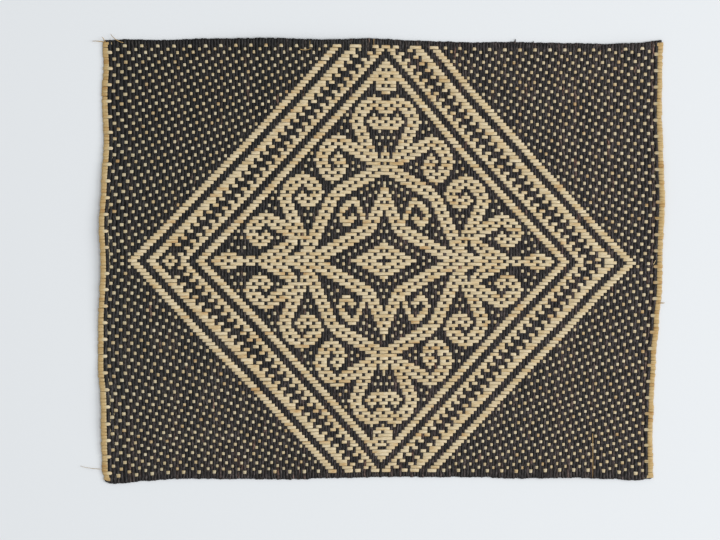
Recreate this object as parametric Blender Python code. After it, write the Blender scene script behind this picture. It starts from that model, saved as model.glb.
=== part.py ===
"""Plaited rattan table mat, lying flat: one sheet whose four edges are turned over and woven back in.

Units are metres and +Z is up. +X runs to the mat's right and +Y to its top. The origin is on the
surface that the mat lies on, under the middle of its outline.
"""
import math

import bmesh
import bpy

MM = 0.001

# Thickness: two crossed strips in the field, three where an edge is turned over
FIELD_THICKNESS = 1.3 * MM
FOLD_THICKNESS = 1.9 * MM

# Width of the turned edges and of the slopes on both sides of their crest
FOLD_WIDTH = 4.0 * MM
FOLD_SLOPE = 1.2 * MM

# Cells of the sheet between its turned edges
CELLS_ACROSS = 28
CELLS_UP = 22

# Corners of the uneven outline, in millimetres: x, y
CORNERS = {
    "bottom_left": (-220.9, -175.8),
    "bottom_right": (217.0, -174.0),
    "top_left": (-222.9, 176.4),
    "top_right": (225.1, 176.7),
}

# Side edges between the corners, in millimetres: y, x
LEFT_EDGE = (
    (-167.6, -223.1),
    (-146.8, -223.8),
    (-114.8, -224.2),
    (-82.8, -226.4),
    (-50.8, -226.2),
    (-2.8, -224.4),
    (29.2, -225.6),
    (61.2, -223.8),
    (93.2, -221.8),
    (133.2, -223.3),
    (157.2, -222.1),
)
RIGHT_EDGE = (
    (-168.0, 217.1),
    (-139.0, 216.6),
    (-115.0, 217.5),
    (-75.0, 219.4),
    (-51.0, 221.7),
    (-19.0, 224.3),
    (5.0, 224.8),
    (48.0, 226.4),
    (77.0, 225.4),
    (117.0, 224.1),
    (157.0, 224.6),
)

# Lower and upper edges between the corners, in millimetres: x, y
BOTTOM_EDGE = (
    (-217.0, -178.2),
    (-208.7, -178.0),
    (-189.5, -175.8),
    (-160.0, -174.2),
    (-97.0, -174.3),
    (-71.0, -174.6),
    (-39.0, -173.4),
    (9.0, -172.7),
    (73.0, -172.7),
    (111.0, -173.8),
    (151.0, -173.3),
    (185.0, -174.2),
    (203.0, -175.3),
)
TOP_EDGE = (
    (-205.5, 177.3),
    (-180.7, 176.6),
    (-141.5, 177.7),
    (-93.5, 178.2),
    (-45.5, 177.1),
    (-5.5, 177.9),
    (18.5, 176.6),
    (42.5, 175.6),
    (74.5, 174.7),
    (103.3, 175.1),
    (135.3, 174.4),
    (178.5, 173.6),
    (207.3, 174.3),
    (218.5, 176.0),
)

# Where the edge stands a little off the surface, in millimetres:
# side, middle of the raised stretch, its half length, lift at the edge, reach inwards
LIFTS = (
    ("left", 15.0, 120.0, 2.4, 38.0),
    ("left", -120.0, 60.0, 1.6, 30.0),
    ("top", -70.0, 130.0, 2.0, 34.0),
    ("top", 190.0, 45.0, 1.4, 26.0),
    ("right", 60.0, 90.0, 1.2, 30.0),
    ("bottom", 150.0, 70.0, 0.8, 24.0),
)

DYED_BLACK = (0.030, 0.027, 0.026, 1.0)


def eased(table, at):
    """Value of a two-column table at a place, with level tangents at its rows, so it never overshoots."""
    if at <= table[0][0]:
        return table[0][1]
    for (here, value), (after, following) in zip(table, table[1:]):
        if at <= after:
            share = (at - here) / (after - here)
            share = 0.5 - 0.5 * math.cos(math.pi * share)
            return value + (following - value) * share
    return table[-1][1]


def mixed(a, b, share):
    return a + (b - a) * share


def side_edge(table, lower, upper, share):
    """Point on a side edge, at a share of the way up from its lower corner."""
    rows = ((lower[1], lower[0]), *table, (upper[1], upper[0]))
    y = mixed(lower[1], upper[1], share)
    return eased(rows, y), y


def level_edge(table, first, last, share):
    """Point on the lower or upper edge, at a share of the way along from its left corner."""
    x = mixed(first[0], last[0], share)
    return x, eased((first, *table, last), x)


def place(across, up):
    """Point of the sheet, in millimetres, from its shares of the way across and up the outline."""
    bl, br = CORNERS["bottom_left"], CORNERS["bottom_right"]
    tl, tr = CORNERS["top_left"], CORNERS["top_right"]
    left = side_edge(LEFT_EDGE, bl, tl, up)
    right = side_edge(RIGHT_EDGE, br, tr, up)
    bottom = level_edge(BOTTOM_EDGE, bl, br, across)
    top = level_edge(TOP_EDGE, tl, tr, across)
    point = []
    for k in (0, 1):
        between_sides = mixed(left[k], right[k], across)
        between_levels = mixed(bottom[k], top[k], up)
        between_corners = mixed(mixed(bl[k], br[k], across), mixed(tl[k], tr[k], across), up)
        point.append(between_sides + between_levels - between_corners)
    return point


def lift(x, y):
    """Height of the sheet's underside over the surface, in millimetres, near its raised edges."""
    bl, tr = CORNERS["bottom_left"], CORNERS["top_right"]
    ways = {
        "left": (y, x - bl[0]),
        "right": (y, tr[0] - x),
        "top": (x, tr[1] - y),
        "bottom": (x, y - bl[1]),
    }
    height = 0.0
    for side, middle, half_length, rise, reach in LIFTS:
        along, inwards = ways[side]
        off_middle = abs(along - middle) / half_length
        depth = max(inwards, 0.0) / reach
        if off_middle < 1.0 and depth < 1.0:
            hump = 0.5 + 0.5 * math.cos(math.pi * off_middle)
            height = max(height, rise * hump * (1.0 - depth) ** 2)
    return height


def stations(length, cells):
    """Shares of the way along a side: close together over each turned edge, even between them."""
    fold = [0.0, FOLD_SLOPE / length, FOLD_WIDTH / length, (FOLD_WIDTH + FOLD_SLOPE) / length]
    first, last = fold[-1], 1.0 - fold[-1]
    even = [mixed(first, last, k / cells) for k in range(1, cells)]
    return fold + even + [1.0 - share for share in reversed(fold)]


def crest(index, count):
    """How much of the fold's height a grid line has: none at the rim, all over the turned edge."""
    steps_in = min(index, count - 1 - index)
    return {0: None, 1: 1.0, 2: 1.0}.get(steps_in, 0.0)


def top_height(i, j, across, up):
    """Height of the upper face over the underside at a grid point."""
    rises = (crest(i, len(across)), crest(j, len(up)))
    if None in rises:
        return 0.55 * FOLD_THICKNESS
    return mixed(FIELD_THICKNESS, FOLD_THICKNESS, max(rises))


def rattan_material():
    """Strips dyed black, smooth with a low sheen."""
    material = bpy.data.materials.new("dyed_rattan")
    material.use_nodes = True
    shader = material.node_tree.nodes["Principled BSDF"]
    shader.inputs["Base Color"].default_value = DYED_BLACK
    shader.inputs["Roughness"].default_value = 0.5
    shader.inputs["Metallic"].default_value = 0.0
    return material


def sheet_mesh():
    """Closed mesh of the sheet: an upper face, an underside below it and a wall round the rim."""
    width = (CORNERS["top_right"][0] - CORNERS["bottom_left"][0]) * MM
    height = (CORNERS["top_right"][1] - CORNERS["bottom_left"][1]) * MM
    across = stations(width, CELLS_ACROSS)
    up = stations(height, CELLS_UP)

    sheet = bmesh.new()
    upper, under = {}, {}
    for i, u in enumerate(across):
        for j, v in enumerate(up):
            x, y = place(u, v)
            floor = lift(x, y) * MM
            upper[i, j] = sheet.verts.new((x * MM, y * MM, floor + top_height(i, j, across, up)))
            under[i, j] = sheet.verts.new((x * MM, y * MM, floor))

    last_i, last_j = len(across) - 1, len(up) - 1
    for i in range(last_i):
        for j in range(last_j):
            ring = ((i, j), (i + 1, j), (i + 1, j + 1), (i, j + 1))
            sheet.faces.new([upper[key] for key in ring])
            sheet.faces.new([under[key] for key in reversed(ring)])

    rim = [(i, 0) for i in range(last_i)] + [(last_i, j) for j in range(last_j)]
    rim += [(i, last_j) for i in range(last_i, 0, -1)] + [(0, j) for j in range(last_j, 0, -1)]
    for here, after in zip(rim, rim[1:] + rim[:1]):
        sheet.faces.new((upper[here], under[here], under[after], upper[after]))

    bmesh.ops.recalc_face_normals(sheet, faces=sheet.faces)
    mesh = bpy.data.meshes.new("mat")
    sheet.to_mesh(mesh)
    sheet.free()
    mesh.shade_smooth()
    mesh.set_sharp_from_angle(angle=math.radians(40.0))
    return mesh


def main():
    for leftover in list(bpy.data.objects):
        bpy.data.objects.remove(leftover, do_unlink=True)
    mat = bpy.data.objects.new("mat", sheet_mesh())
    mat.data.materials.append(rattan_material())
    bpy.context.scene.collection.objects.link(mat)


main()
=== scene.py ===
"""Looks of the plaited rattan mat: every strip is a woven ribbon.

Black-dyed strips run up the mat and natural strips run across it. Strips are counted from the middle:
an upright strip has a column number from -91 (left) to 91 (right), and a level strip has a row number
from -67 (top) to 66 (bottom). Tables are in millimetres or in strip numbers, and meshes in metres.
"""
import math

import bpy
import numpy as np
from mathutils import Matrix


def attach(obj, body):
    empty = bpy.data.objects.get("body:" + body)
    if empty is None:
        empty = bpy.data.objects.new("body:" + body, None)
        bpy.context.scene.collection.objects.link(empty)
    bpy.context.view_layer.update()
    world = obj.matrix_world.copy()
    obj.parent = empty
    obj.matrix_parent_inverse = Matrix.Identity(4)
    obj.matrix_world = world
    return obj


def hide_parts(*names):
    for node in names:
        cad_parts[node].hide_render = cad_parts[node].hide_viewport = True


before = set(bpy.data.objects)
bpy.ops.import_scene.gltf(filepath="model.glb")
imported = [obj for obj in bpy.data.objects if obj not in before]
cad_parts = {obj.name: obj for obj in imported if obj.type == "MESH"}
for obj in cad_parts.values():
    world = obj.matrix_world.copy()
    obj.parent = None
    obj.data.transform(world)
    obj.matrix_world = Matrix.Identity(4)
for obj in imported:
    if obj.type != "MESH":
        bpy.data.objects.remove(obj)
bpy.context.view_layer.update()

MM = 0.001

# Strips on each side of the middle ones
COLUMN_MAX = 91
ROW_TOP = -67
ROW_BOTTOM = 66

# The outermost strips that aren't part of a turned edge
INNER_COLUMN = COLUMN_MAX - 1
INNER_TOP = ROW_TOP + 1
INNER_BOTTOM = ROW_BOTTOM - 1

# Where the turned edges reach, in strip numbers past the outermost strips
SIDE_RIM = 91.95
TOP_RIM = -68.2
BOTTOM_RIM = 66.85

# Corners of the uneven outline, in millimetres: x, y
CORNERS = {
    "bottom_left": (-220.9, -175.8),
    "bottom_right": (217.0, -174.0),
    "top_left": (-222.9, 176.4),
    "top_right": (225.1, 176.7),
}

# Side edges between the corners, in millimetres: y, x
LEFT_EDGE = (
    (-167.6, -223.1),
    (-146.8, -223.8),
    (-114.8, -224.2),
    (-82.8, -226.4),
    (-50.8, -226.2),
    (-2.8, -224.4),
    (29.2, -225.6),
    (61.2, -223.8),
    (93.2, -221.8),
    (133.2, -223.3),
    (157.2, -222.1),
)
RIGHT_EDGE = (
    (-168.0, 217.1),
    (-139.0, 216.6),
    (-115.0, 217.5),
    (-75.0, 219.4),
    (-51.0, 221.7),
    (-19.0, 224.3),
    (5.0, 224.8),
    (48.0, 226.4),
    (77.0, 225.4),
    (117.0, 224.1),
    (157.0, 224.6),
)

# Lower and upper edges between the corners, in millimetres: x, y
BOTTOM_EDGE = (
    (-217.0, -178.2),
    (-208.7, -178.0),
    (-189.5, -175.8),
    (-160.0, -174.2),
    (-97.0, -174.3),
    (-71.0, -174.6),
    (-39.0, -173.4),
    (9.0, -172.7),
    (73.0, -172.7),
    (111.0, -173.8),
    (151.0, -173.3),
    (185.0, -174.2),
    (203.0, -175.3),
)
TOP_EDGE = (
    (-205.5, 177.3),
    (-180.7, 176.6),
    (-141.5, 177.7),
    (-93.5, 178.2),
    (-45.5, 177.1),
    (-5.5, 177.9),
    (18.5, 176.6),
    (42.5, 175.6),
    (74.5, 174.7),
    (103.3, 175.1),
    (135.3, 174.4),
    (178.5, 173.6),
    (207.3, 174.3),
    (218.5, 176.0),
)

# Raised edges, in mm: side, middle of the stretch, half its length, lift at the edge, reach inwards
LIFTS = (
    ("left", 15.0, 120.0, 2.4, 38.0),
    ("left", -120.0, 60.0, 1.6, 30.0),
    ("top", -70.0, 130.0, 2.0, 34.0),
    ("top", 190.0, 45.0, 1.4, 26.0),
    ("right", 60.0, 90.0, 1.2, 30.0),
    ("bottom", 150.0, 70.0, 0.8, 24.0),
)

# Upright strips, in mm: column, then x at the five stations from the top to the bottom
COLUMNS = (
    (-91.0, -221.5, -219.5, -221.5, -223.0, -220.0),
    (-84.0, -200.0, -198.5, -201.5, -201.5, -198.5),
    (-72.0, -168.5, -168.0, -171.5, -171.0, -168.0),
    (-60.0, -138.0, -139.0, -142.5, -141.0, -138.5),
    (-45.0, -102.0, -103.0, -104.5, -103.5, -102.0),
    (-30.0, -65.5, -67.5, -68.5, -68.0, -66.0),
    (-15.0, -31.0, -32.0, -32.5, -33.0, -32.5),
    (0.0, 3.5, 3.0, 2.0, 2.0, -1.0),
    (15.0, 37.5, 37.5, 36.0, 36.5, 33.0),
    (30.0, 72.0, 72.0, 72.5, 71.5, 68.5),
    (45.0, 108.5, 108.5, 108.0, 106.5, 103.0),
    (60.0, 144.5, 143.5, 144.5, 142.0, 138.0),
    (72.0, 172.0, 171.5, 172.0, 169.5, 165.0),
    (84.0, 202.5, 202.0, 202.0, 198.0, 195.0),
    (91.0, 221.0, 220.5, 221.5, 216.0, 214.5),
)

# Level strips, in mm: row, then y at the five stations from the left to the right
ROWS = (
    (-67.0, 174.5, 175.0, 174.0, 171.5, 173.5),
    (-50.0, 130.5, 130.5, 129.5, 127.5, 128.5),
    (-30.0, 80.0, 78.5, 78.0, 75.0, 76.0),
    (-10.0, 26.5, 26.5, 26.5, 25.0, 23.5),
    (10.0, -25.5, -26.0, -26.0, -25.5, -27.5),
    (30.0, -78.5, -79.0, -78.0, -77.0, -81.0),
    (50.0, -133.0, -131.5, -129.0, -129.0, -132.5),
    (66.0, -175.0, -171.5, -170.0, -170.5, -173.0),
)

# The five stations: at both ends, half way to them and in the middle
STATIONS = (-1.0, -0.5, 0.0, 0.5, 1.0)

# How far the level strips rise or sag some way out to both sides, in mm: row, rise
SIDE_RISE = (
    (-66.0, 0.0),
    (-53.0, 1.0),
    (-30.0, 1.3),
    (-20.0, 0.2),
    (20.0, -0.7),
    (40.0, -1.6),
    (50.0, 0.6),
    (60.0, 2.0),
    (66.0, 1.8),
)

# Where that rise is greatest and how far it reaches, as shares of the half width
SIDE_RISE_AT = 0.76
SIDE_RISE_REACH = 0.27

# The side edges pull on the columns from this one outwards, and more and more as far as the last
PULL_FROM = 70.0
PULL_COLUMNS = 20.0

# Length of level strip past the middle of the last column, in mm
SIDE_OVERHANG = 2.6

# Thickness of a strip and heights of its middle over the underside, in mm
STRIP_THICKNESS = 0.5
LEVEL_UNDER = 0.27
LEVEL_OVER = 0.95

# How much of its place a strip fills
FILL_DYED = 1.14
FILL_NATURAL = 0.98

# How far a strip stays up past its place, in strips crossed: the dyed ones are springier
STAY_DYED = 0.16
STAY_NATURAL = -0.08

# Distances between strips, which give the fibres their length, in mm
COLUMN_PITCH = 2.4
ROW_PITCH = 2.6

# At a turned edge the strips lie on the tails of those that come back below them, in mm
TAIL_LEVEL = 0.28
TAIL_RISE = 0.5

# Strip numbers from which the tails raise the others, over the width of one strip
TAILS_FROM_SIDE = 89.2
TAILS_FROM_TOP = -64.9
TAILS_FROM_BOTTOM = 64.0

# How uneven the strips are: sideways wandering and turned ends in strips, width and thickness as shares
WANDER = 0.12
END_UNEVENNESS = 0.12
WIDTH_SPREAD = (0.97, 1.03)
THICKNESS_SPREAD = (0.92, 1.05)

# Each strip takes its fibres from its own place in the noise
SEED_SPAN = 900.0


def eased(table, at):
    """Values of a two-column table at places, with level tangents at its rows."""
    places, values = np.array(table, float).T
    at = np.clip(at, places[0], places[-1])
    row = np.clip(np.searchsorted(places, at, side="right") - 1, 0, len(places) - 2)
    share = (at - places[row]) / (places[row + 1] - places[row])
    share = 0.5 - 0.5 * np.cos(np.pi * share)
    return values[row] + (values[row + 1] - values[row]) * share


def swapped(point):
    return point[1], point[0]


EDGES = {
    "left": (swapped(CORNERS["bottom_left"]), *LEFT_EDGE, swapped(CORNERS["top_left"])),
    "right": (swapped(CORNERS["bottom_right"]), *RIGHT_EDGE, swapped(CORNERS["top_right"])),
    "bottom": (CORNERS["bottom_left"], *BOTTOM_EDGE, CORNERS["bottom_right"]),
    "top": (CORNERS["top_left"], *TOP_EDGE, CORNERS["top_right"]),
}


def smooth_table(table, at, across):
    """Entry of a table of five stations: straight between its rows, a smooth curve through its stations."""
    table = np.array(table, float)
    total = 0.0
    for k, here in enumerate(STATIONS):
        weight = np.interp(at, table[:, 0], table[:, k + 1])
        for other in STATIONS:
            if other != here:
                weight = weight * (across - other) / (here - other)
        total = total + weight
    return total


def place(column, row):
    """Point of the mat in plan, in millimetres, where a column and a row number cross."""
    column, row = np.broadcast_arrays(np.asarray(column, float), np.asarray(row, float))
    inner_column = np.clip(column, -INNER_COLUMN, INNER_COLUMN)
    inner_row = np.clip(row, INNER_TOP, INNER_BOTTOM)
    y = smooth_table(ROWS, inner_row, inner_column / COLUMN_MAX)
    off_rise = (np.abs(inner_column) / COLUMN_MAX - SIDE_RISE_AT) / SIDE_RISE_REACH
    y = y + eased(SIDE_RISE, inner_row) * (0.5 + 0.5 * np.cos(np.pi * np.clip(off_rise, -1.0, 1.0)))
    x = smooth_table(COLUMNS, inner_column, inner_row / ROW_BOTTOM)

    # The outermost strips follow the uneven side edges
    for side, sign in (("left", -1.0), ("right", 1.0)):
        edge = eased(EDGES[side], y)
        plain = smooth_table(COLUMNS, sign * COLUMN_MAX, inner_row / ROW_BOTTOM) + sign * SIDE_OVERHANG
        nearness = np.clip((sign * column - PULL_FROM) / PULL_COLUMNS, 0.0, 1.0) ** 2
        x = x + (edge - plain) * nearness
        past = np.clip((sign * column - INNER_COLUMN) / (SIDE_RIM - INNER_COLUMN), 0.0, None)
        x = x + (edge - x) * past

    # Past the last rows, the upper and lower edges take over
    for side, last_row, rim in (("top", INNER_TOP, TOP_RIM), ("bottom", INNER_BOTTOM, BOTTOM_RIM)):
        past = np.clip((row - last_row) / (rim - last_row), 0.0, None)
        y = y + (eased(EDGES[side], x) - y) * past
    return x, y


def lift(x, y):
    """Height of the underside over the surface, in millimetres, near the raised edges."""
    ways = {
        "left": (y, x - CORNERS["bottom_left"][0]),
        "right": (y, CORNERS["top_right"][0] - x),
        "top": (x, CORNERS["top_right"][1] - y),
        "bottom": (x, y - CORNERS["bottom_left"][1]),
    }
    height = np.zeros_like(x)
    for side, middle, half_length, rise, reach in LIFTS:
        along, inwards = ways[side]
        off_middle = np.clip(np.abs(along - middle) / half_length, 0.0, 1.0)
        depth = np.clip(inwards / reach, 0.0, 1.0)
        hump = 0.5 + 0.5 * np.cos(np.pi * off_middle)
        height = np.maximum(height, rise * hump * (1.0 - depth) ** 2)
    return height


def edge_rise(column, row):
    """How far the tails of the turned strips raise the others at the edges, in millimetres."""
    side = np.abs(column) - TAILS_FROM_SIDE
    top = TAILS_FROM_TOP - row
    bottom = row - TAILS_FROM_BOTTOM
    share = np.clip(np.maximum(np.maximum(side, top), bottom), 0.0, 1.0)
    return TAIL_RISE * share


# The pattern is alike in its four quarters, so a crossing is named by columns and rows from the middle

# Columns from the middle to the side tip of the large diamond; a depth is counted inwards from its edge
DIAMOND_REACH = 84

# Depths at which the natural strip is on top in the diamond's border, in even and in odd rows
BORDER_EVEN = {0, 1, 2, 6, 7, 8, 9, 14, 15, 17, 18, 22, 23, 24}
BORDER_ODD = {0, 1, 2, 6, 7, 8, 10, 11, 16, 17, 18, 22, 23, 24}
BORDER_DEPTH = 25

# The left tip of the border differs: row, depths with the natural strip on top
LEFT_TIP = {
    0: {0, 1, 2, 6, 7, 8, 17, 18, 22, 23, 24},
    1: {0, 1, 2, 6, 7, 8, 16, 17, 18, 22, 23, 24},
    2: {0, 1, 2, 6, 7, 8, 14, 15, 17, 18, 22, 23, 24},
    3: {0, 1, 2, 6, 7, 8, 16, 17, 18, 22, 23, 24},
    4: {0, 1, 2, 6, 7, 8, 14, 15, 17, 18, 22, 23, 24},
}

# A small flower in the left tip: column of its middle, reach
LEFT_TIP_FLOWER = (71, 2)

# Every fifth crossing of the ground shows a natural dot, shifted by one in the lower right quarter
GROUND_REPEAT = 5
GROUND_PHASE = 3
GROUND_PHASE_LOWER_RIGHT = 2

# Strips from the border to the ground's first dots
GROUND_GAP = 2

# Natural strips are on top this far from the middle line of a stroke, in strips
STROKE_HALF_WIDTH = 2.05

# Strokes of the scrollwork, as the crossings at which each is bound down: column, row
STROKES = {
    "inner ring": ((25, 0), (23, 1), (21, 2), (19, 3), (17, 4), (15, 5), (13, 6), (11, 7), (9, 8), (7, 9),
                   (5, 10), (4, 12), (3, 14), (2, 16), (1, 18), (0, 20)),
    "outer ring": ((30, 0), (28, 1), (26, 2), (24, 3), (25, 5), (24, 7), (23, 9), (22, 11), (21, 13),
                   (20, 15), (19, 17), (18, 19), (16, 21), (14, 22), (12, 23), (10, 24), (8, 25), (6, 26),
                   (4, 27), (2, 28)),
    "upper scroll": ((4, 31), (6, 32), (8, 33), (10, 34), (12, 35), (14, 36), (16, 37), (18, 36), (20, 35),
                     (21, 33), (22, 31), (21, 29), (20, 27), (18, 26), (16, 27)),
    "loop": ((5, 34), (7, 35), (9, 36), (7, 37), (8, 39), (9, 41), (10, 43), (9, 45), (8, 47), (6, 48),
             (4, 49), (2, 48), (0, 47)),
    "side arm": ((41, 0), (39, 1), (37, 2), (35, 3), (33, 4), (32, 5)),
    "side link": ((36, 0), (34, 1)),
    "side scroll": ((28, 8), (30, 8), (32, 9), (34, 10), (36, 11), (38, 12), (40, 13), (42, 12), (44, 11),
                    (45, 9), (44, 7), (42, 6), (40, 7)),
    "middle scroll": ((29, 10), (31, 11), (31, 13), (32, 15), (33, 17), (34, 19), (33, 21), (32, 23),
                      (30, 24), (28, 25), (26, 24), (24, 23), (23, 21), (24, 19), (26, 18), (28, 19)),
}

# The small diamond in the middle, in columns to its tip
MIDDLE_DIAMOND = 11

# Other runs with the natural strip on top: row, first column, last column
RUNS = {
    "bridge to the tip": ((0, 42, 57), (1, 40, 56), (2, 50, 54), (3, 52, 52)),
    "between the rings": ((4, 31, 32), (5, 30, 31), (6, 28, 32), (7, 25, 32)),
    "curl": ((19, 10, 11), (18, 9, 13), (17, 9, 14), (16, 8, 9), (16, 13, 15), (15, 8, 9), (15, 14, 15),
             (14, 7, 8), (14, 15, 16), (13, 7, 8), (13, 10, 12), (13, 14, 15), (12, 11, 15), (11, 12, 14)),
    "shoulder": ((12, 5, 7),),
    "stem": ((21, 0, 1), (22, 0, 1), (27, 0, 0), (28, 0, 0), (29, 0, 4), (30, 0, 6), (31, 0, 3), (32, 0, 1),
             (33, 0, 1), (33, 3, 3)),
    "bud": ((32, 15, 17), (31, 14, 18), (30, 14, 17), (28, 14, 17)),
    "face": ((46, 0, 2), (44, 0, 1), (44, 3, 5), (43, 0, 6), (42, 0, 5), (41, 0, 4)),
}

# Runs that differ between the upper and the lower tip
UPPER_CROWN = (
    (52, 0, 1), (53, 0, 3), (54, 0, 3), (55, 0, 3), (56, 0, 3), (57, 0, 2), (58, 0, 1), (59, 0, 0),
)
LOWER_CROWN = (
    (51, 0, 0), (52, 0, 2), (53, 0, 3), (54, 0, 3), (55, 0, 3), (56, 0, 3), (57, 0, 2), (59, 0, 0),
)

# Single crossings with the dyed strip on top: column, row
BOUND_DOWN = (
    (0, 0), (1, 0), (2, 0), (0, 1), (7, 0), (5, 1), (3, 2), (1, 3), (45, 0), (50, 0), (54, 0), (43, 1),
    (47, 1), (52, 1), (31, 2), (32, 2), (29, 3), (30, 3), (31, 3), (29, 4), (29, 5), (29, 6), (26, 8),
    (42, 8), (43, 9), (40, 11), (33, 12), (11, 17), (26, 20), (25, 21), (28, 23), (18, 28), (16, 31),
    (2, 32), (16, 35), (3, 34), (2, 42), (0, 43), (4, 43), (4, 47), (10, 37), (27, 10), (23, 4),
)
UPPER_BOUND_DOWN = ((1, 30), (0, 32), (1, 54), (0, 56), (2, 57), (1, 59))
LOWER_BOUND_DOWN = ((2, 30), (0, 31), (0, 53), (1, 56))

# Single crossings with the natural strip on top: column, row
DOTS = (
    (0, 6), (16, 0), (14, 1), (12, 2), (10, 3), (8, 4), (6, 5), (4, 6), (2, 7), (1, 9), (0, 11), (18, 8),
    (20, 7), (15, 9), (19, 10), (17, 11), (13, 10), (11, 14), (6, 17), (7, 19), (5, 20), (3, 21), (8, 21),
    (6, 22), (4, 23), (2, 24), (0, 23), (0, 24), (9, 29), (11, 30), (11, 28), (13, 29), (16, 29), (16, 33),
    (36, 7), (42, 4), (47, 3), (49, 4), (51, 5), (48, 6), (50, 7), (49, 9), (26, 12), (25, 14), (27, 14),
    (37, 16), (39, 17), (38, 19), (24, 21), (28, 27), (25, 28), (27, 29), (26, 31), (18, 24), (0, 34),
    (0, 35), (2, 36), (1, 38), (3, 38), (2, 40), (4, 45), (0, 45), (14, 43), (15, 41), (13, 40),
    (27, 4), (28, 5), (14, 29),
)

# Crossings that differ on the left, above and below the middle alike, as columns and rows from it
LEFT_ON_TOP = ((48, 7), (47, 4), (17, 12), (18, 10), (16, 9), (19, 8), (37, 21), (25, 33), (13, 45))
LEFT_BOUND_DOWN = ((48, 6), (47, 3), (17, 11), (19, 10), (13, 10), (15, 9), (18, 8), (20, 7))

# Single crossings that differ, as column and row
SINGLE_ON_TOP = ((-32, 5), (-12, 19), (12, 19), (5, 19), (7, 20), (4, 21), (3, 23))
SINGLE_BOUND_DOWN = (
    (-13, -65), (-8, -65), (-1, -59), (1, -59), (-31, 6), (7, 19), (5, 20), (3, 21), (8, 21), (4, 23),
    (2, 24), (-2, 54), (-3, 57), (2, 57),
)


def quarter_field(crown, bound_down):
    """Which crossings inside the border have the natural strip on top, for one quarter: [row, column]."""
    rows, columns = np.mgrid[0:DIAMOND_REACH, 0:DIAMOND_REACH]
    natural = columns <= MIDDLE_DIAMOND - 2 * rows
    for nodes in STROKES.values():
        for (x0, y0), (x1, y1) in zip(nodes, nodes[1:]):
            length2 = (x1 - x0) ** 2 + (y1 - y0) ** 2
            along = np.clip(((columns - x0) * (x1 - x0) + (rows - y0) * (y1 - y0)) / length2, 0, 1)
            gap = np.hypot(columns - x0 - along * (x1 - x0), rows - y0 - along * (y1 - y0))
            natural |= gap <= STROKE_HALF_WIDTH
    for runs in (*RUNS.values(), crown):
        for row, first, last in runs:
            natural[row, first:last + 1] = True
    for column, row in DOTS:
        natural[row, column] = True
    for nodes in (*STROKES.values(), BOUND_DOWN, bound_down):
        for column, row in nodes:
            natural[row, column] = False
    return natural


def woven_pattern():
    """Whether the natural strip is on top, as an array: [row - ROW_TOP, column + COLUMN_MAX]."""
    row, column = np.mgrid[ROW_TOP:ROW_BOTTOM + 1, -COLUMN_MAX:COLUMN_MAX + 1]
    rows, columns = np.abs(row), np.abs(column)
    depth = DIAMOND_REACH - columns - rows

    phase = np.where((column > 0) & (row > 0), GROUND_PHASE_LOWER_RIGHT, GROUND_PHASE)
    natural = (depth <= -GROUND_GAP) & ((columns + 2 * rows) % GROUND_REPEAT == phase)

    even = (rows % 2 == 0) & np.isin(depth, list(BORDER_EVEN))
    odd = (rows % 2 == 1) & np.isin(depth, list(BORDER_ODD))
    natural |= even | odd
    for tip_row, depths in LEFT_TIP.items():
        here = (column < 0) & (rows == tip_row) & (depth >= 0) & (depth < BORDER_DEPTH)
        natural[here] = np.isin(depth, list(depths))[here]
    centre, reach = LEFT_TIP_FLOWER
    from_flower = np.abs(column + centre) + rows
    natural |= from_flower <= reach
    natural &= from_flower > 0

    for upper, crown, bound_down in (
        (True, UPPER_CROWN, UPPER_BOUND_DOWN),
        (False, LOWER_CROWN, LOWER_BOUND_DOWN),
    ):
        inside = (depth >= BORDER_DEPTH) & ((row <= 0) == upper)
        field = quarter_field(crown, bound_down)
        natural[inside] = field[rows[inside], columns[inside]]
    for on_top, of_left, single in (
        (True, LEFT_ON_TOP, SINGLE_ON_TOP),
        (False, LEFT_BOUND_DOWN, SINGLE_BOUND_DOWN),
    ):
        mirrored = [(-across, down * side) for across, down in of_left for side in (-1, 1)]
        for at_column, at_row in (*mirrored, *single):
            natural[at_row - ROW_TOP, at_column + COLUMN_MAX] = on_top

    natural[:, [0, -1]] = True
    natural[[0, -1], :] = False
    return natural


# Where a strip changes sides between two others, as shares of the way, and its longest straight step
CHANGE = (0.24, 0.5, 0.76)
LONGEST_STEP = 3.5


def stations(over, first_number, stay):
    """Where a strip needs a cross-section, as strip numbers crossed, and the height of its middle there.

    "stay" is how far past its place a strip stays up where it comes down, in strips crossed.
    """
    level = np.where(over, LEVEL_OVER, LEVEL_UNDER)
    at, height = [], []
    run_start = 0
    for k in range(len(over)):
        if k + 1 == len(over) or over[k + 1] != over[k]:
            steps = max(1, round((k - run_start) / LONGEST_STEP))
            for step in range(1, steps):
                at.append(run_start + (k - run_start) * step / steps)
                height.append(level[k])
            if k + 1 < len(over):
                shift = stay if over[k] else -stay
                at += [k + share + shift for share in CHANGE]
                height += [level[k], (LEVEL_OVER + LEVEL_UNDER) / 2, level[k + 1]]
            run_start = k + 1
    return np.array(at) + first_number, np.array(height)


# How a strip turns round the edge, from its tail on: strips in from the rim, height of its middle in mm
TURN = (
    (3.05, TAIL_LEVEL),
    (1.40, TAIL_LEVEL),
    (0.50, TAIL_LEVEL + 0.02),
    (0.12, TAIL_LEVEL + 0.22),
    (0.00, (TAIL_LEVEL + LEVEL_OVER + TAIL_RISE) / 2),
    (0.12, LEVEL_OVER + TAIL_RISE - 0.22),
    (0.50, LEVEL_OVER + TAIL_RISE - 0.02),
    (0.95, LEVEL_OVER + TAIL_RISE),
)

# A strip's own crossings end this far in from the rim, in strips
TURN_END = 1.1

# How much wider the level strips are where they are pressed flat over the side edges
TURNED_SPREAD = 1.07

# Cross-section of a strip: across in half widths, up in half thicknesses
PROFILE = ((-1.0, 0.3), (-0.86, 0.88), (0.0, 1.0), (0.86, 0.88), (1.0, 0.3), (0.0, -0.9))


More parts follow.
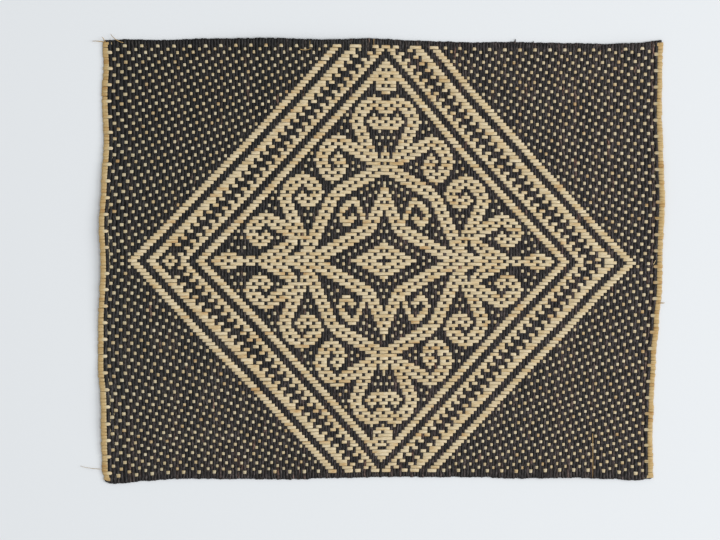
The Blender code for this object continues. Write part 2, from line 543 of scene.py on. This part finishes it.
class Ribbons:
    """Closed ribbons gathered into one mesh."""

    def __init__(self):
        self.points = []
        self.quads = []
        self.caps = []
        self.grain = []
        self.strip = []
        self.count = 0

    def add(self, centre, side, half_width, half_thickness, along, strip):
        """One ribbon: its middle line, its level cross direction, and its sizes at each cross-section.

        "strip" is its tone, its shade at each cross-section and its place in the noise.
        """
        tone, shade, seed = strip
        tangent = np.gradient(centre, axis=0)
        tangent /= np.linalg.norm(tangent, axis=1)[:, None]
        side = side - (side * tangent).sum(1)[:, None] * tangent
        side /= np.linalg.norm(side, axis=1)[:, None]
        normal = np.cross(tangent, side)
        across = np.array([p[0] for p in PROFILE])
        up = np.array([p[1] for p in PROFILE])
        points = (
            centre[:, None, :]
            + side[:, None, :] * (half_width[:, None] * across)[:, :, None]
            + normal[:, None, :] * (half_thickness[:, None] * up)[:, :, None]
        )
        sections, corners = points.shape[:2]
        ring = np.arange(sections * corners).reshape(sections, corners) + self.count
        after = np.roll(ring, -1, axis=1)
        quads = np.stack([ring[:-1], ring[1:], after[1:], after[:-1]], axis=-1)
        self.quads.append(quads.reshape(-1, 4))
        self.caps.append(ring[0])
        self.caps.append(ring[-1][::-1])
        self.points.append(points.reshape(-1, 3))
        grain = np.stack(
            [
                np.repeat(along, corners),
                (half_width[:, None] * across).reshape(-1),
                np.full(sections * corners, seed),
            ],
            axis=-1,
        )
        self.grain.append(grain)
        shade = np.repeat(np.broadcast_to(shade, (sections,)), corners)
        self.strip.append(np.stack([np.full(len(shade), tone), shade, np.full(len(shade), seed)], axis=-1))
        self.count += sections * corners

    def piece(self, name, material):
        """The mesh object of all the ribbons, in metres."""
        points = np.concatenate(self.points) * MM
        quads = np.concatenate(self.quads)
        caps = np.array(self.caps)
        loops = np.concatenate([quads.reshape(-1), caps.reshape(-1)])
        sizes = np.concatenate([np.full(len(quads), 4), np.full(len(caps), caps.shape[1])])
        starts = np.concatenate([[0], np.cumsum(sizes)[:-1]])
        mesh = bpy.data.meshes.new(name)
        mesh.vertices.add(len(points))
        mesh.vertices.foreach_set("co", points.astype(np.float32).ravel())
        mesh.loops.add(len(loops))
        mesh.loops.foreach_set("vertex_index", loops.astype(np.int32))
        mesh.polygons.add(len(sizes))
        mesh.polygons.foreach_set("loop_start", starts.astype(np.int32))
        mesh.update(calc_edges=True)
        mesh.validate()
        for label, values in (("grain", self.grain), ("strip", self.strip)):
            attribute = mesh.attributes.new(label, "FLOAT_VECTOR", "POINT")
            attribute.data.foreach_set("vector", np.concatenate(values).astype(np.float32).ravel())
        mesh.shade_smooth()
        mesh.materials.append(material)
        piece = bpy.data.objects.new(name, mesh)
        bpy.context.scene.collection.objects.link(piece)
        return piece


# One seeded source for all that is left to chance
random = np.random.default_rng(20)

PATTERN = woven_pattern()

# Waves that a strip's wandering is made of, and their lengths in strips crossed
WANDER_WAVES = 3
WANDER_LENGTHS = (14.0, 60.0)


def wander(at):
    """Slow, small sideways wandering along a strip."""
    waves = np.zeros_like(at)
    for _ in range(WANDER_WAVES):
        length = random.uniform(*WANDER_LENGTHS)
        waves = waves + np.sin(at * (2 * math.pi / length) + random.uniform(0, 2 * math.pi))
    return waves * WANDER / WANDER_WAVES


def single_dots(over, first_number, at):
    """How near a place along a strip is to one where it comes up over a single other strip, 0 to 1."""
    padded = np.concatenate([[False], over, [False]])
    single = over & ~padded[:-2] & ~padded[2:]
    return np.interp(at, first_number + np.arange(len(over)), single)


# Lengths over which the painted sheen on the dyed strips fades from the lower right to the upper left and
# the painted shade on the single dots deepens to the left, in mm
SHEEN_SPAN = 300.0
DOT_SHADE_SPAN = 400.0

# Widths of the duller stretches along the left and lower edges and of the worn turned edges, in mm
DULL_FROM_SIDE = 45.0
DULL_FROM_LOWER = 40.0
WORN_WIDTH = 3.6
WORN_FADE = 2.0


def dyed_painted_sheen(x, y):
    """Painted sheen on an upright strip, from 0 to 1: darkest at the upper left, lightest towards the lower
    right.
    """
    left = np.clip(0.5 - x / SHEEN_SPAN, 0.0, 1.0)
    upper = np.clip(0.5 + y / SHEEN_SPAN, 0.0, 1.0)
    return 1.0 - left * (0.35 + 0.65 * upper)


def natural_wear_and_painted_shade(x, y, single):
    """How pale a level strip is, from 0 to 1: worn at the side edges; its single dots take painted shade,
    deeper to the left, and turn browner near the left and lower edges.
    """
    from_side = np.minimum(x - eased(EDGES["left"], y), eased(EDGES["right"], y) - x)
    left = np.clip(0.5 - x / DOT_SHADE_SPAN, 0.0, 1.0)
    from_lower = y - CORNERS["bottom_left"][1]
    by_side = np.clip(1.0 - from_side / DULL_FROM_SIDE, 0.0, 1.0)
    by_lower = np.clip(1.0 - from_lower / DULL_FROM_LOWER, 0.0, 1.0)
    dot_shade_and_browning = 0.25 + left * (0.22 + 0.28 * np.minimum(by_side + 0.6 * by_lower, 1.2))
    return np.minimum(np.clip((from_side - WORN_WIDTH) / WORN_FADE, 0.0, 1.0), 1.0 - dot_shade_and_browning * single)


def add_strip(ribbons, number, upright):
    """One strip with its turned ends; upright strips are dyed."""
    if upright:
        over = ~PATTERN[:, number + COLUMN_MAX]
        first, rims, fill, stay = ROW_TOP, (TOP_RIM, BOTTOM_RIM), FILL_DYED, STAY_DYED
    else:
        over = PATTERN[number - ROW_TOP, :]
        first, rims, fill, stay = -COLUMN_MAX, (-SIDE_RIM, SIDE_RIM), FILL_NATURAL, STAY_NATURAL
    at, height = stations(over, first, stay)
    keep = (at > rims[0] + TURN_END) & (at < rims[1] - TURN_END)
    at, height = at[keep], height[keep]
    turn_in, turn_height = np.array(TURN).T
    at = np.concatenate([rims[0] + turn_in, at, (rims[1] - turn_in)[::-1]])
    height = np.concatenate([turn_height, height, turn_height[::-1]])
    turned = np.zeros(len(at), bool)
    turned[:len(TURN)] = True
    turned[-len(TURN):] = True

    ends_differ = random.uniform(-END_UNEVENNESS, END_UNEVENNESS, 2)
    at = at + np.where(np.arange(len(at)) < len(TURN), ends_differ[0], 0.0)
    at = at + np.where(np.arange(len(at)) >= len(at) - len(TURN), ends_differ[1], 0.0)
    offset = number + wander(at)
    if upright:
        x, y = place(offset, at)
        near = place(offset - 0.5, at)
        far = place(offset + 0.5, at)
        columns, rows = offset, at
    else:
        x, y = place(at, offset)
        near = place(at, offset + 0.5)
        far = place(at, offset - 0.5)
        columns, rows = at, offset
    across = np.stack([far[0] - near[0], far[1] - near[1], np.zeros_like(x)], axis=-1)
    pitch = np.linalg.norm(across, axis=1)
    rise = np.where(turned, 0.0, edge_rise(columns, rows))
    z = height + rise + lift(x, y)
    centre = np.stack([x, y, z], axis=-1)
    width = pitch * fill * random.uniform(*WIDTH_SPREAD)
    if not upright:
        width[turned] *= TURNED_SPREAD
    thickness = np.full(len(at), STRIP_THICKNESS * random.uniform(*THICKNESS_SPREAD))
    direction = -across if upright else across
    along = at * (ROW_PITCH if upright else COLUMN_PITCH)
    # The shade is painted sheen on the dyed strips, and painted shade on the single dots of the natural
    # strips besides their worn turned edges
    shade = dyed_painted_sheen(x, y) if upright else natural_wear_and_painted_shade(x, y, single_dots(over, first, at))
    strip = (random.uniform(), shade, random.uniform(0.0, SEED_SPAN))
    ribbons.add(centre, direction, width / 2, thickness / 2, along, strip)


# Loose fibres and stubs, in mm: piece, width, paleness, three points as x, y, height over the underside
FRAYS = (
    ("natural_strips_upper", 0.7, 0.0, ((-217.0, 173.6, 1.3), (-223.5, 175.4, 1.9), (-231.1, 175.8, 1.6))),
    ("natural_strips_upper", 0.6, 0.0, ((-220.0, 173.8, 1.4), (-221.9, 177.2, 1.7), (-223.3, 179.1, 2.0))),
    ("natural_strips_upper", 0.5, 0.0, ((-5.9, 177.6, 1.7), (-6.0, 175.5, 1.9), (-5.9, 172.6, 1.8))),
    ("natural_strips_upper", 0.6, 0.0, ((-206.5, 174.6, 1.5), (-212.2, 177.0, 1.9), (-216.4, 181.4, 2.2))),
    ("natural_strips_upper", 0.35, 0.3, ((-57.1, 176.0, 1.8), (-57.2, 172.6, 1.95), (-57.1, 169.4, 1.8))),
    ("natural_strips_upper", 0.6, 0.0, ((-65.0, 169.3, 1.8), (-60.6, 168.8, 1.85), (-56.0, 169.8, 1.8))),
    ("natural_strips_lower", 0.4, 0.2, ((-220, -166.4, 1.2), (-231, -165.9, 1.5), (-240.7, -164, 0.8))),
    ("natural_strips_lower", 0.5, 0.0, ((168.9, -138, 1.35), (169.1, -156, 1.4), (168.9, -173, 1.75))),
    ("natural_strips_middle", 2.0, 0.0, ((218.6, 34.4, 1.35), (221.0, 34.4, 1.66), (225.0, 34.4, 1.66))),
    ("natural_strips_middle", 0.9, 0.0, ((221.5, -33.6, 1.7), (224.5, -33.6, 1.7), (226.5, -33.5, 1.5))),
    ("natural_strips_middle", 0.7, 1.0, ((217.4, -2.8, 1.3), (218.4, -1.2, 1.6), (219.4, 0.6, 1.8))),
    ("dyed_strips_right", 1.2, 1.0, ((106.9, 173.6, 1.6), (106.9, 176.0, 1.8), (107.1, 177.4, 1.4))),
    ("dyed_strips_right", 1.2, 1.0, ((121.2, 172.4, 1.6), (121.3, 174.6, 1.8), (121.6, 175.8, 1.4))),
)

# Half the thickness of a loose fibre, in mm, and its cross-sections
FRAY_HALF_THICKNESS = 0.12
FRAY_SECTIONS = 9


def add_fray(ribbons, width, shade, points):
    """One thin loose fibre, as a smooth curve through its points that tapers to its end."""
    points = np.array(points)
    share = np.linspace(0.0, 1.0, FRAY_SECTIONS)
    by_first = (1 - share) * (1 - 2 * share)
    by_middle = 4 * share * (1 - share)
    by_last = share * (2 * share - 1)
    centre = np.stack([by_first, by_middle, by_last], axis=-1) @ points
    centre[:, 2] += lift(centre[:, 0], centre[:, 1])
    heading = np.gradient(centre, axis=0)
    side = np.stack([heading[:, 1], -heading[:, 0], np.zeros(len(share))], axis=-1)
    half_width = width / 2 * (1.0 - 0.5 * share ** 2)
    half_thickness = np.full(len(share), FRAY_HALF_THICKNESS)
    along = share * np.linalg.norm(points[-1] - points[0])
    strip = (1.0, shade, random.uniform(0.0, SEED_SPAN))
    ribbons.add(centre, side, half_width, half_thickness, along, strip)


def node(tree, kind, **values):
    made = tree.nodes.new(kind)
    for key, value in values.items():
        setattr(made, key, value)
    return made


def ramp(tree, source, stops):
    made = tree.nodes.new("ShaderNodeValToRGB")
    elements = made.color_ramp.elements
    while len(elements) < len(stops):
        elements.new(0.5)
    for element, (position, colour) in zip(elements, stops):
        element.position = position
        element.color = (*colour, 1.0)
    tree.links.new(source, made.inputs["Fac"])
    return made.outputs["Color"]


# Noise of the fibres, the slow patches and the relief: scale along, across and from strip to strip
PATCH_SCALE = (0.04, 0.1, 1.0)
RELIEF_SCALE = (0.25, 5.0, 1.0)
COLOUR_DETAIL = 3.0
RELIEF_DETAIL = 2.0
NOISE_ROUGHNESS = 0.6

# Depth of the fibres' relief, in metres
RELIEF_DEPTH = 0.0001


def noise(tree, vector, scale, detail):
    """Noise over the strip's own coordinates."""
    mapping = node(tree, "ShaderNodeMapping")
    mapping.inputs["Scale"].default_value = scale
    tree.links.new(vector, mapping.inputs["Vector"])
    made = node(tree, "ShaderNodeTexNoise")
    made.inputs["Scale"].default_value = 1.0
    made.inputs["Detail"].default_value = detail
    made.inputs["Roughness"].default_value = NOISE_ROUGHNESS
    tree.links.new(mapping.outputs["Vector"], made.inputs["Vector"])
    return made.outputs["Fac"]


# Sockets of the mix node in its colour form
MIX_SHARE = 0
MIX_FIRST = 6
MIX_SECOND = 7
MIX_RESULT = 2


def product(tree, first, second):
    """One colour times another."""
    made = node(tree, "ShaderNodeMix", data_type="RGBA", blend_type="MULTIPLY")
    made.inputs[MIX_SHARE].default_value = 1.0
    tree.links.new(first, made.inputs[MIX_FIRST])
    tree.links.new(second, made.inputs[MIX_SECOND])
    return made.outputs[MIX_RESULT]


def rattan(name, fibre_scale, streaks, tones, shades, patches, roughness, specular, bump):
    """Split rattan: fibre streaks, a tone for each strip, a shade from place to place that is partly
    painted shade and sheen, slow patches.
    """
    material = bpy.data.materials.new(name)
    material.use_nodes = True
    tree = material.node_tree
    shader = tree.nodes["Principled BSDF"]
    grain = node(tree, "ShaderNodeAttribute", attribute_name="grain").outputs["Vector"]
    strip = node(tree, "ShaderNodeAttribute", attribute_name="strip").outputs["Vector"]
    parts = node(tree, "ShaderNodeSeparateXYZ")
    tree.links.new(strip, parts.inputs["Vector"])

    colour = ramp(tree, noise(tree, grain, fibre_scale, COLOUR_DETAIL), streaks)
    factors = (
        ramp(tree, parts.outputs["X"], tones),
        ramp(tree, parts.outputs["Y"], shades),
        ramp(tree, noise(tree, grain, PATCH_SCALE, COLOUR_DETAIL), patches),
    )
    for factor in factors:
        colour = product(tree, colour, factor)
    tree.links.new(colour, shader.inputs["Base Color"])

    height = noise(tree, grain, RELIEF_SCALE, RELIEF_DETAIL)
    relief = node(tree, "ShaderNodeBump")
    relief.inputs["Strength"].default_value = bump
    relief.inputs["Distance"].default_value = RELIEF_DEPTH
    tree.links.new(height, relief.inputs["Height"])
    tree.links.new(relief.outputs["Normal"], shader.inputs["Normal"])
    shader.inputs["Roughness"].default_value = roughness
    shader.inputs["Specular IOR Level"].default_value = specular
    return material


def grey(value):
    return (value, value, value)


natural_rattan = rattan(
    "natural_rattan",
    fibre_scale=(0.30, 2.6, 1.0),
    streaks=((0.28, (0.46, 0.355, 0.20)), (0.5, (0.66, 0.545, 0.345)), (0.74, (0.83, 0.74, 0.56))),
    tones=(
        (0.0, (1.0, 0.98, 0.95)),
        (0.6, (0.96, 0.94, 0.92)),
        (0.9, (0.92, 0.88, 0.82)),
        (1.0, (0.88, 0.80, 0.68)),
    ),
    # Shades: the worn tan of the turned edges, painted shade on the single dots, and none elsewhere
    shades=((0.0, (0.78, 0.68, 0.49)), (0.5, (0.82, 0.865, 0.88)), (1.0, grey(1.0))),
    patches=(
        (0.31, (0.78, 0.60, 0.41)),
        (0.42, (0.95, 0.89, 0.78)),
        (0.52, grey(1.0)),
        (0.70, (1.05, 1.06, 1.09)),
    ),
    roughness=0.5,
    specular=0.35,
    bump=0.4,
)
dyed_rattan = rattan(
    "dyed_rattan",
    fibre_scale=(0.30, 1.4, 1.0),
    streaks=((0.36, (0.004, 0.004, 0.004)), (0.50, (0.011, 0.010, 0.010)), (0.68, (0.085, 0.082, 0.083))),
    tones=((0.0, grey(0.7)), (0.7, (1.05, 1.0, 0.98)), (0.9, (1.2, 1.05, 0.98)), (1.0, (1.6, 1.3, 1.17))),
    # Shades: painted sheen, the dyed strips darker at the upper left and lighter towards the lower right,
    # with a slight shift of hue
    shades=(
        (0.0, (0.43, 0.42, 0.41)),
        (0.5, (0.95, 0.95, 0.89)),
        (0.68, (1.12, 1.02, 0.99)),
        (1.0, (1.28, 1.16, 1.14)),
    ),
    patches=((0.32, grey(0.5)), (0.5, grey(1.0)), (0.64, (1.3, 1.18, 1.1)), (0.75, (5.5, 3.6, 2.7))),
    roughness=0.55,
    specular=0.25,
    bump=0.8,
)

# Pieces of the upright and of the level strips: name, first and last strip
UPRIGHT_PIECES = (
    ("dyed_strips_left", -91, -31),
    ("dyed_strips_middle", -30, 30),
    ("dyed_strips_right", 31, 91),
)
LEVEL_PIECES = (
    ("natural_strips_upper", -67, -23),
    ("natural_strips_middle", -22, 22),
    ("natural_strips_lower", 23, 66),
)

# A plain pale floor
FLOOR_HALF = 1.5
floor_mesh = bpy.data.meshes.new("floor")
floor_mesh.from_pydata(
    [(-FLOOR_HALF, -FLOOR_HALF, 0), (FLOOR_HALF, -FLOOR_HALF, 0), (FLOOR_HALF, FLOOR_HALF, 0),
     (-FLOOR_HALF, FLOOR_HALF, 0)],
    [],
    [(0, 1, 2, 3)],
)
floor = bpy.data.objects.new("floor", floor_mesh)
bpy.context.scene.collection.objects.link(floor)
paper = bpy.data.materials.new("pale_paper")
paper.use_nodes = True
paper_shader = paper.node_tree.nodes["Principled BSDF"]
paper_shader.inputs["Base Color"].default_value = (0.777, 0.798, 0.82, 1.0)
paper_shader.inputs["Roughness"].default_value = 0.8
floor_mesh.materials.append(paper)

# The mat: each piece gathers its strips and loose fibres
for upright, pieces, slot, material in (
    (True, UPRIGHT_PIECES, "dyed_rattan", dyed_rattan),
    (False, LEVEL_PIECES, "natural_rattan", natural_rattan),
):
    for name, first, last in pieces:
        ribbons = Ribbons()
        for number in range(first, last + 1):
            add_strip(ribbons, number, upright)
        for at_piece, width, shade, fray_points in FRAYS:
            if at_piece == name:
                add_fray(ribbons, width, shade, fray_points)
        piece = ribbons.piece(name, material)
        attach(piece, "root")
        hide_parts("mat")

# Camera straight above, with the photograph's framing
VIEW_CENTRE = (-0.0171, -0.0072)
VIEW_WIDTH = 0.576
CAMERA_HEIGHT = 3.0
camera_data = bpy.data.cameras.new("camera")
camera_data.sensor_width = 36.0
camera_data.lens = camera_data.sensor_width * CAMERA_HEIGHT / VIEW_WIDTH
camera = bpy.data.objects.new("camera", camera_data)
camera.location = (*VIEW_CENTRE, CAMERA_HEIGHT)
bpy.context.scene.collection.objects.link(camera)
bpy.context.scene.camera = camera


def area_light(name, location, size, power):
    """A square soft light that looks at the middle of the mat: metres and watts."""
    data = bpy.data.lights.new(name, "AREA")
    data.shape = "SQUARE"
    data.size = size
    data.energy = power
    light = bpy.data.objects.new(name, data)
    light.location = location
    x, y, z = location
    light.rotation_euler = (math.atan2(math.hypot(x, y), z), 0.0, math.atan2(y, x) + math.pi / 2)
    bpy.context.scene.collection.objects.link(light)


# Studio light: a large soft one from the right, a weaker one from above and an even surround
area_light("window", (4.2, 0.15, 2.3), 2.1, 118.0)
area_light("softbox", (1.6, -0.6, 3.0), 1.5, 26.0)

world = bpy.data.worlds.new("studio")
world.use_nodes = True
background = world.node_tree.nodes["Background"]
background.inputs["Color"].default_value = (0.97, 0.99, 1.0, 1.0)
background.inputs["Strength"].default_value = 0.62
bpy.context.scene.world = world
bpy.context.scene.view_settings.view_transform = "Standard"
